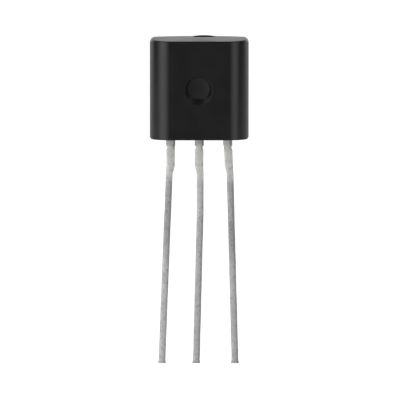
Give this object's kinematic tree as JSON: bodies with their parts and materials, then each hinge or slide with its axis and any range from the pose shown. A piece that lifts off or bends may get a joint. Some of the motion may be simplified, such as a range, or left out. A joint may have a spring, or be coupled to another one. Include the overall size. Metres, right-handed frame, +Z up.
{
  "type": "to-92 transistor",
  "caption": "Small through-hole transistor: black D-shaped moulded body with a flat face and a round back, and slim tinned leads in a row.",
  "frame": {"origin": "where the centre lead leaves the underside of the body, in the parting plane of the moulding", "axes": "+Z up from the leads to the body, -Y out of the flat face, +X to the right seen from the flat face"},
  "size_m": [0.0044, 0.0034, 0.0146],
  "materials": {
    "moulding": "black epoxy moulding, fine satin skin",
    "tinned_lead": "dull tin plate over copper",
    "silicon": "polished silicon",
    "gold_wire": "bright gold"
  },
  "bodies": {
    "root": {"moulded_body": "moulding", "left_lead": "tinned_lead", "centre_lead": "tinned_lead", "right_lead": "tinned_lead", "transistor_chip": "silicon", "left_bond_wire": "gold_wire", "right_bond_wire": "gold_wire"}
  },
  "joints": []
}
